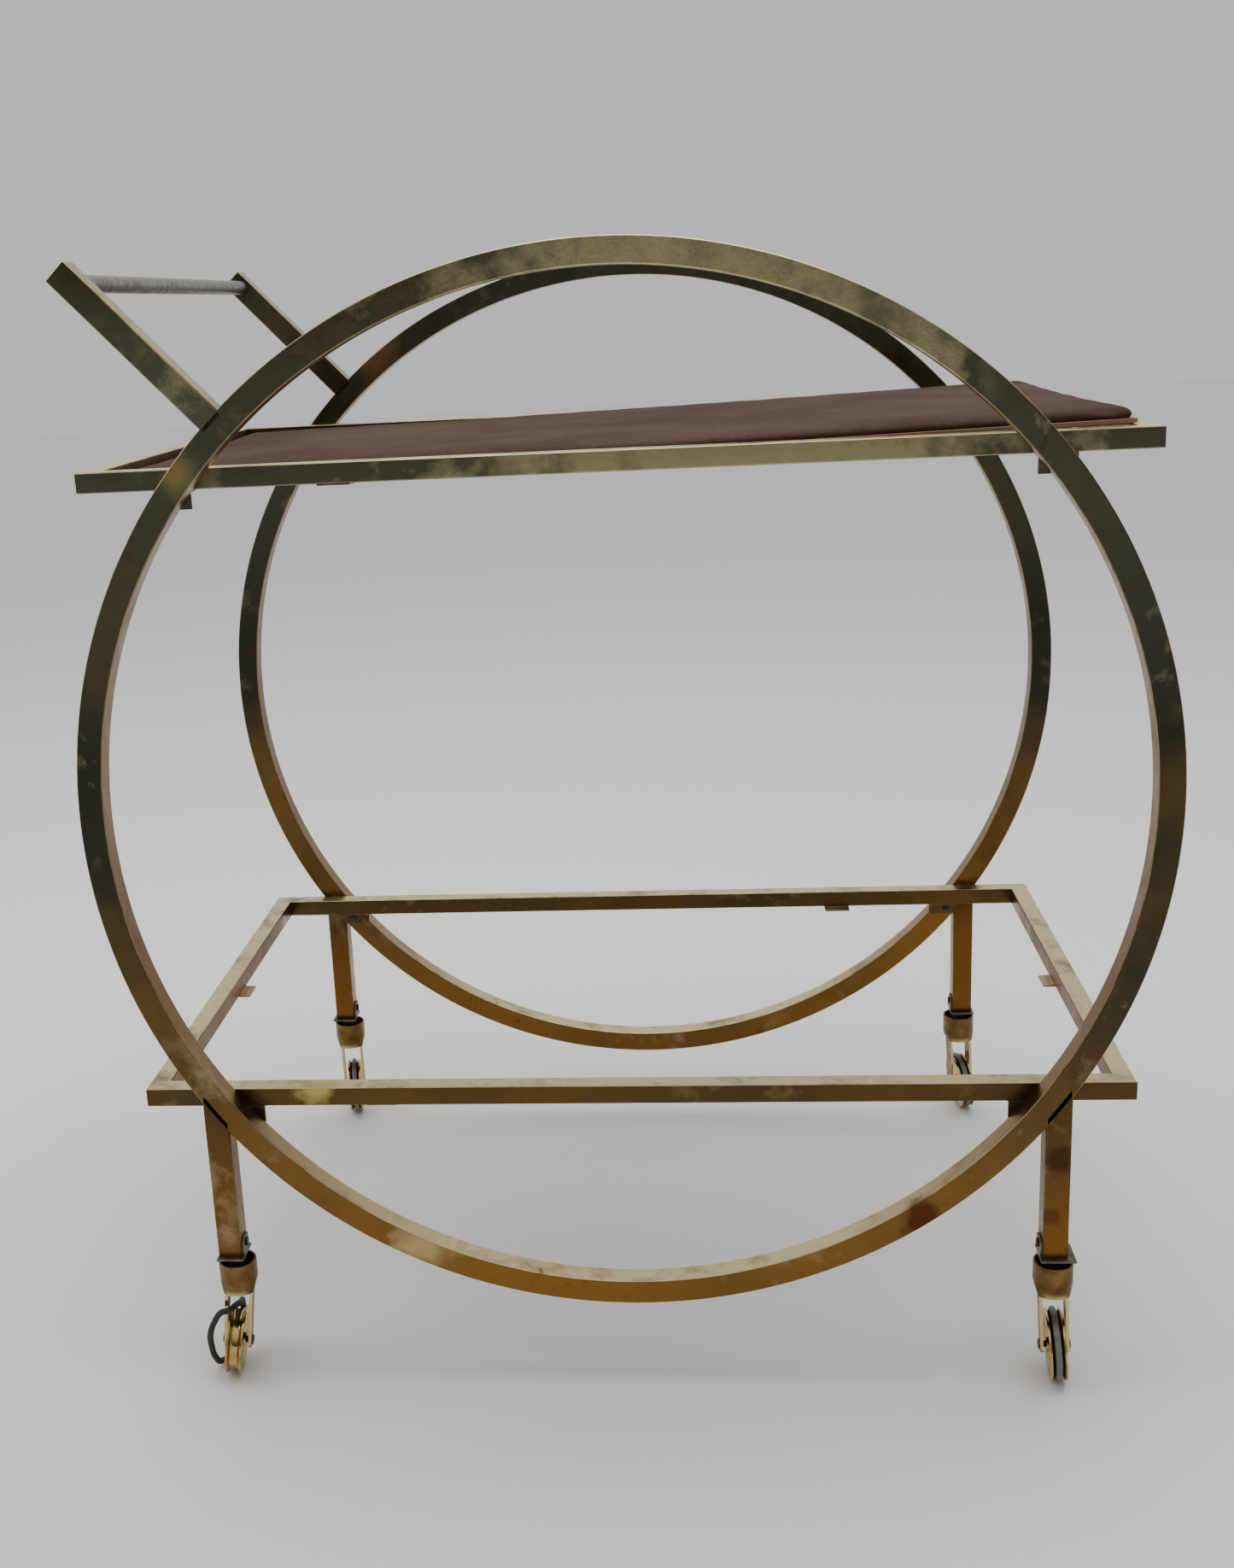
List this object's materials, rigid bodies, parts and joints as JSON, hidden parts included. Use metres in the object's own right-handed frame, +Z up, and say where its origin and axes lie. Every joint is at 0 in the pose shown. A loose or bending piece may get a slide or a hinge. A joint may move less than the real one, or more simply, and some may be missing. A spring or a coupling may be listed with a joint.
{
  "type": "circular bar cart",
  "caption": "Round-sided brass bar cart: twin hoops carry rectangular shelf frames, with a push handle, a loose padded shelf and swivel casters.",
  "frame": {"origin": "on the floor, midway between the two hoops and under the hoop axis", "axes": "+Z up; +X along the cart away from the handle, which is at the -X end; +Y is the depth, from the front hoop to the rear hoop"},
  "size_m": [0.8, 0.5392, 0.877],
  "materials": {
    "brass_tube": "worn satin brass with a dark olive-brown patina",
    "caster_brass": "satin brass, brown in the hollows",
    "polished_brass": "polished brass",
    "handle_steel": "dull grey steel",
    "caster_steel": "dull tarnished steel",
    "screw_steel": "dark steel",
    "grey_rubber": "matt grey rubber",
    "black_rubber": "matt black rubber",
    "velvet": "short-pile brown velvet",
    "foam": "open-cell foam",
    "board": "plain hardboard"
  },
  "bodies": {
    "frame": {"caster_kingpin_front_left": "caster_steel", "caster_kingpin_front_right": "caster_steel", "caster_kingpin_rear_left": "caster_steel", "caster_kingpin_rear_right": "caster_steel", "caster_plate_front_left": "caster_steel", "caster_plate_front_right": "caster_steel", "caster_plate_rear_left": "caster_steel", "caster_plate_rear_right": "caster_steel", "caster_screw_front_left": "screw_steel", "caster_screw_front_right": "screw_steel", "caster_screw_rear_left": "screw_steel", "caster_screw_rear_right": "screw_steel", "front_hoop": "brass_tube", "handle_arm_front": "brass_tube", "handle_arm_rear": "brass_tube", "handle_bar": "handle_steel", "leg_front_left": "brass_tube", "leg_front_right": "brass_tube", "leg_rear_left": "brass_tube", "leg_rear_right": "brass_tube", "lower_bracket_screws": "screw_steel", "lower_brackets": "brass_tube", "lower_rail_front": "brass_tube", "lower_rail_left": "brass_tube", "lower_rail_rear": "brass_tube", "lower_rail_right": "brass_tube", "lower_shelf_clips": "brass_tube", "rear_hoop": "brass_tube", "upper_bracket_screws": "screw_steel", "upper_brackets": "brass_tube", "upper_rail_front": "brass_tube", "upper_rail_left": "brass_tube", "upper_rail_rear": "brass_tube", "upper_rail_right": "brass_tube", "upper_shelf_clips": "brass_tube"},
    "swivel_front_left": {"caster_yoke_front_left": "caster_brass", "caster_axle_front_left": "caster_steel", "slipped_tyre_front_left": "black_rubber"},
    "wheel_front_left": {"caster_wheel_front_left": "polished_brass"},
    "swivel_front_right": {"caster_yoke_front_right": "caster_brass", "caster_axle_front_right": "caster_steel"},
    "wheel_front_right": {"caster_wheel_front_right": "polished_brass", "caster_tyre_front_right": "grey_rubber"},
    "swivel_rear_left": {"caster_yoke_rear_left": "caster_brass", "caster_axle_rear_left": "caster_steel"},
    "wheel_rear_left": {"caster_wheel_rear_left": "polished_brass", "caster_tyre_rear_left": "grey_rubber"},
    "swivel_rear_right": {"caster_yoke_rear_right": "caster_brass", "caster_axle_rear_right": "caster_steel"},
    "wheel_rear_right": {"caster_wheel_rear_right": "polished_brass", "caster_tyre_rear_right": "grey_rubber"},
    "pad": {"pad_cover": "velvet", "pad_board": "board", "pad_foam": "foam"}
  },
  "joints": [
    {"name": "front_left_swivel", "type": "hinge", "parent": "frame", "child": "swivel_front_left", "pos_m": [-0.3175, -0.2405, 0.095], "axis": [0, 0, 1], "continuous": true},
    {"name": "front_left_roll", "type": "hinge", "parent": "swivel_front_left", "child": "wheel_front_left", "pos_m": [-0.32623, -0.23136, 0.02825], "axis": [0.9848, 0.1035, -0.1392], "continuous": true},
    {"name": "front_right_swivel", "type": "hinge", "parent": "frame", "child": "swivel_front_right", "pos_m": [0.3205, -0.2405, 0.095], "axis": [0, 0, 1], "continuous": true},
    {"name": "front_right_roll", "type": "hinge", "parent": "swivel_front_right", "child": "wheel_front_right", "pos_m": [0.32506, -0.23079, 0.02844], "axis": [0.9951, -0.0696, 0.0698], "continuous": true},
    {"name": "rear_left_swivel", "type": "hinge", "parent": "frame", "child": "swivel_rear_left", "pos_m": [-0.318, 0.2405, 0.095], "axis": [0, 0, 1], "continuous": true},
    {"name": "rear_left_roll", "type": "hinge", "parent": "swivel_rear_left", "child": "wheel_rear_left", "pos_m": [-0.31974, 0.25035, 0.0285], "axis": [0.9848, 0.1736, 0], "continuous": true},
    {"name": "rear_right_swivel", "type": "hinge", "parent": "frame", "child": "swivel_rear_right", "pos_m": [0.318, 0.2405, 0.095], "axis": [0, 0, 1], "continuous": true},
    {"name": "rear_right_roll", "type": "hinge", "parent": "swivel_rear_right", "child": "wheel_rear_right", "pos_m": [0.32198, 0.25135, 0.02836], "axis": [0.9794, 0.1727, 0.1045], "continuous": true},
    {"name": "pad_lift", "type": "slide", "parent": "frame", "child": "pad", "axis": [0, 0, 1], "range_m": [0, 0.12]}
  ]
}
